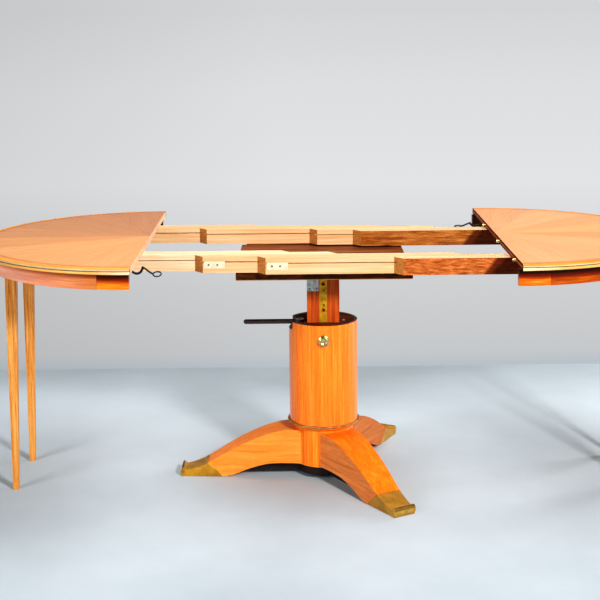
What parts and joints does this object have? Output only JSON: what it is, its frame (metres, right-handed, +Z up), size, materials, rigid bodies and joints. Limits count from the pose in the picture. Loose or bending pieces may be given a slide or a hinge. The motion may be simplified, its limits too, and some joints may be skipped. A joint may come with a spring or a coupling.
{
  "type": "convertible pedestal table",
  "caption": "Round pedestal coffee table that converts to a dining table: halves pull apart on wooden slides, a post lifts them out of a drum column, and plug-in legs carry them.",
  "frame": {"origin": "on the floor under the column's axis, at the middle of the pulled-out table", "axes": "+X the way the halves pull apart, towards the half with the joint pins; +Z up; -Y the side with the height knob"},
  "size_m": [2.087, 1.036, 0.75],
  "materials": {
    "top_veneer": "book-matched sunburst veneer under satin lacquer",
    "lipping_wood": "gloss lacquered solid lipping",
    "column_veneer": "gloss lacquered orange-brown veneer",
    "post_wood": "satin red-brown",
    "slide_wood": "planed pale softwood",
    "faced_slide_wood": "pale softwood with a stained show face",
    "board_wood": "dark stained",
    "leg_wood": "satin lacquer over streaked wood",
    "cap_wood": "dark stained",
    "brass": "aged brass",
    "steel": "plain steel",
    "black_iron": "blackened"
  },
  "bodies": {
    "pedestal": {"hub": "column_veneer", "iron_base": "black_iron", "left_foot": "column_veneer", "left_toe_cap": "brass", "front_foot": "column_veneer", "front_toe_cap": "brass", "back_foot": "column_veneer", "back_toe_cap": "brass", "column_shell": "column_veneer", "column_ring": "brass", "column_cap": "cap_wood", "post_guide": "slide_wood", "lever_pivot": "black_iron"},
    "lever": {"lock_lever": "black_iron"},
    "knob": {"height_knob": "brass", "locking_plunger": "steel"},
    "lift": {"post": "post_wood", "post_strip": "brass", "mount_board": "board_wood", "front_bracket": "steel", "rear_bracket": "steel", "front_packer": "board_wood", "rear_packer": "board_wood", "front_rail_3": "slide_wood", "rear_rail_3": "slide_wood", "front_plate_3": "steel", "rear_plate_3": "steel"},
    "front_second_slide": {"front_rail_2": "slide_wood"},
    "front_fourth_slide": {"front_rail_4": "slide_wood", "front_plate_4": "steel"},
    "rear_second_slide": {"rear_rail_2": "slide_wood"},
    "rear_fourth_slide": {"rear_rail_4": "slide_wood", "rear_plate_4": "steel"},
    "left_half": {"left_top": "top_veneer", "left_lipping": "lipping_wood", "left_apron": "column_veneer", "left_apron_block": "column_veneer", "left_leg_block": "slide_wood", "front_rail_1": "slide_wood", "rear_rail_5": "slide_wood", "left_hook_plate": "black_iron", "left_catch": "black_iron"},
    "right_half": {"right_top": "top_veneer", "right_lipping": "lipping_wood", "right_apron": "column_veneer", "right_apron_block": "column_veneer", "right_leg_block": "slide_wood", "rear_rail_1": "faced_slide_wood", "front_rail_5": "faced_slide_wood", "right_hook_plate": "black_iron", "right_catch": "black_iron", "joint_pin_1": "brass", "joint_pin_2": "brass", "joint_pin_3": "brass"},
    "left_hook_body": {"left_hook": "black_iron"},
    "right_hook_body": {"right_hook": "black_iron"},
    "left_front_leg_body": {"left_front_leg": "leg_wood"},
    "left_rear_leg_body": {"left_rear_leg": "leg_wood"},
    "right_front_leg_body": {"right_front_leg": "leg_wood"},
    "right_rear_leg_body": {"right_rear_leg": "leg_wood"}
  },
  "joints": [
    {"name": "post_lift", "type": "slide", "parent": "pedestal", "child": "lift", "axis": [0, 0, 1], "range_m": [-0.163, 0]},
    {"name": "left_half_slide", "type": "slide", "parent": "lift", "child": "left_half", "axis": [1, 0, 0], "range_m": [0, 0.5255]},
    {"name": "right_half_slide", "type": "slide", "parent": "lift", "child": "right_half", "axis": [-1, 0, 0], "range_m": [0, 0.5255]},
    {"name": "front_second_rail_slide", "type": "slide", "parent": "lift", "child": "front_second_slide", "axis": [1, 0, 0], "range_m": [0, 0.3257]},
    {"name": "rear_fourth_rail_slide", "type": "slide", "parent": "lift", "child": "rear_fourth_slide", "axis": [1, 0, 0], "range_m": [0, 0.1866]},
    {"name": "rear_second_rail_slide", "type": "slide", "parent": "lift", "child": "rear_second_slide", "axis": [-1, 0, 0], "range_m": [0, 0.3257]},
    {"name": "front_fourth_rail_slide", "type": "slide", "parent": "lift", "child": "front_fourth_slide", "axis": [-1, 0, 0], "range_m": [0, 0.1866]},
    {"name": "lever_turn", "type": "hinge", "parent": "pedestal", "child": "lever", "pos_m": [-0.072, 0, 0.48], "axis": [0, 0, 1], "range_deg": [-35, 35]},
    {"name": "knob_pull", "type": "slide", "parent": "pedestal", "child": "knob", "axis": [0, -1, 0], "range_m": [0, 0.012], "stiffness_N_per_m": 400},
    {"name": "left_hook_swing", "type": "hinge", "parent": "left_half", "child": "left_hook_body", "pos_m": [-0.546, -0.35, 0.7284], "axis": [0, 0, -1], "range_deg": [0, 90]},
    {"name": "right_hook_swing", "type": "hinge", "parent": "right_half", "child": "right_hook_body", "pos_m": [0.532, 0.35, 0.7284], "axis": [0, 0, -1], "range_deg": [0, 90]},
    {"name": "left_front_leg_pull", "type": "slide", "parent": "left_half", "child": "left_front_leg_body", "axis": [0, 0, -1], "range_m": [0, 0.045]},
    {"name": "left_rear_leg_pull", "type": "slide", "parent": "left_half", "child": "left_rear_leg_body", "axis": [0, 0, -1], "range_m": [0, 0.045]},
    {"name": "right_front_leg_pull", "type": "slide", "parent": "right_half", "child": "right_front_leg_body", "axis": [0, 0, -1], "range_m": [0, 0.045]},
    {"name": "right_rear_leg_pull", "type": "slide", "parent": "right_half", "child": "right_rear_leg_body", "axis": [0, 0, -1], "range_m": [0, 0.045]}
  ],
  "couplings": [
    {"joint": "front_second_rail_slide", "follows": "left_half_slide", "ratio": 0.61937},
    {"joint": "rear_fourth_rail_slide", "follows": "left_half_slide", "ratio": 0.35475},
    {"joint": "rear_second_rail_slide", "follows": "right_half_slide", "ratio": 0.61937},
    {"joint": "front_fourth_rail_slide", "follows": "right_half_slide", "ratio": 0.35475}
  ]
}
